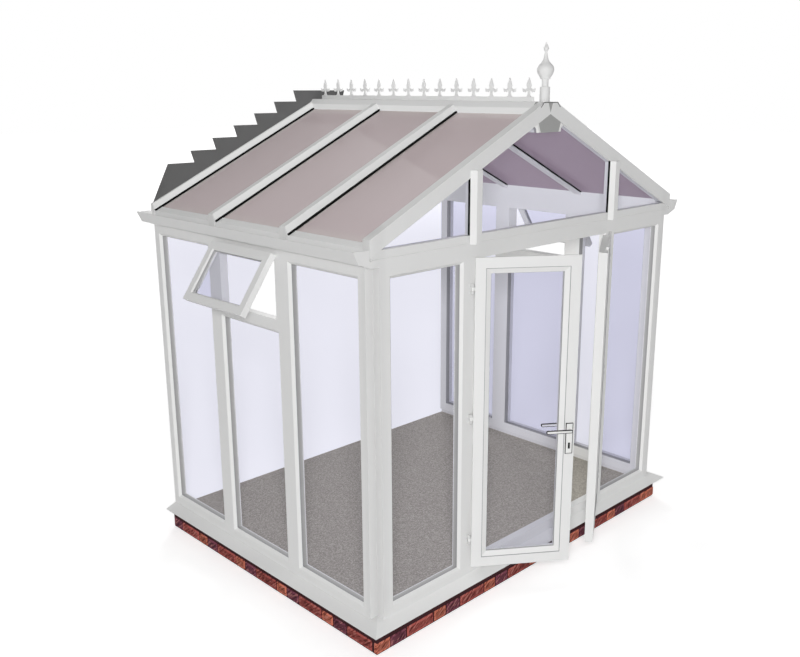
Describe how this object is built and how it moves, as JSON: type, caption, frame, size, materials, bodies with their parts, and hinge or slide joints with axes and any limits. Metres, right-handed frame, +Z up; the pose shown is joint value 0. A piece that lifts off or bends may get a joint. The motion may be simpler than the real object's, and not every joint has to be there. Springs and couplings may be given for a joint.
{
  "type": "conservatory",
  "caption": "Gable-fronted glazed conservatory on a low brick plinth, with outward French doors, top-hung vents and a crested ridge, open on its house side.",
  "frame": {"origin": "middle of the plinth's footprint, on the ground", "axes": "+Z up, +Y towards the house wall, X across the gable, the doors face -Y"},
  "size_m": [3.3796, 2.5849, 3.3421],
  "materials": {
    "brick": "fired clay brick",
    "floor": "speckled screed",
    "upvc": "white satin plastic",
    "grey_trim": "grey plastic",
    "glass": "clear double glazing",
    "roof_sheet": "tinted translucent sheet",
    "lead": "dull grey lead",
    "handle": "white powder coat"
  },
  "bodies": {
    "building": {"plinth_front": "brick", "plinth_left": "brick", "plinth_right": "brick", "floor_slab": "floor", "front_sill": "upvc", "left_sill": "upvc", "right_sill": "upvc", "left_frame_posts": "upvc", "left_frame_rails": "upvc", "left_glass": "glass", "left_vent_sash": "upvc", "left_vent_glass": "glass", "right_frame_posts": "upvc", "right_frame_rails": "upvc", "right_glass": "glass", "right_vent_sash": "upvc", "right_vent_glass": "glass", "front_frame_posts": "upvc", "front_frame_rails": "upvc", "front_glass": "glass", "corner_posts": "upvc", "left_eaves_beam": "upvc", "right_eaves_beam": "upvc", "left_gutter": "upvc", "right_gutter": "upvc", "tie_beam": "upvc", "gable_posts": "upvc", "gable_glass": "glass", "gable_bars": "upvc", "left_roof_bars": "upvc", "right_roof_bars": "upvc", "left_roof_sheets": "roof_sheet", "right_roof_sheets": "roof_sheet", "ridge_beam": "upvc", "ridge_cap": "upvc", "ridge_end_trim": "grey_trim", "ridge_cresting": "upvc", "finial": "upvc", "left_flashing": "lead", "right_flashing": "lead", "hinge_brackets": "upvc"},
    "left_door": {"left_door_frame": "upvc", "left_door_glass": "glass", "handle_plates": "handle"},
    "right_door": {"right_door_frame": "upvc", "right_door_glass": "glass", "meeting_post": "upvc"},
    "door_lever": {"door_lever": "handle"}
  },
  "joints": [
    {"name": "left_door_hinge", "type": "hinge", "parent": "building", "child": "left_door", "pos_m": [-0.682, -1.089, 1.2], "axis": [0, 0, -1], "range_deg": [-36.5, 53.5]},
    {"name": "right_door_hinge", "type": "hinge", "parent": "building", "child": "right_door", "pos_m": [0.682, -1.089, 1.2], "axis": [0, 0, 1], "range_deg": [-32, 58]},
    {"name": "lever_turn", "type": "hinge", "parent": "left_door", "child": "door_lever", "pos_m": [-0.20247, -1.44881, 1.107], "axis": [-0.5948, -0.8039, 0], "range_deg": [0, 35], "stiffness_Nm_per_rad": 2, "springref_deg": -20.05}
  ]
}
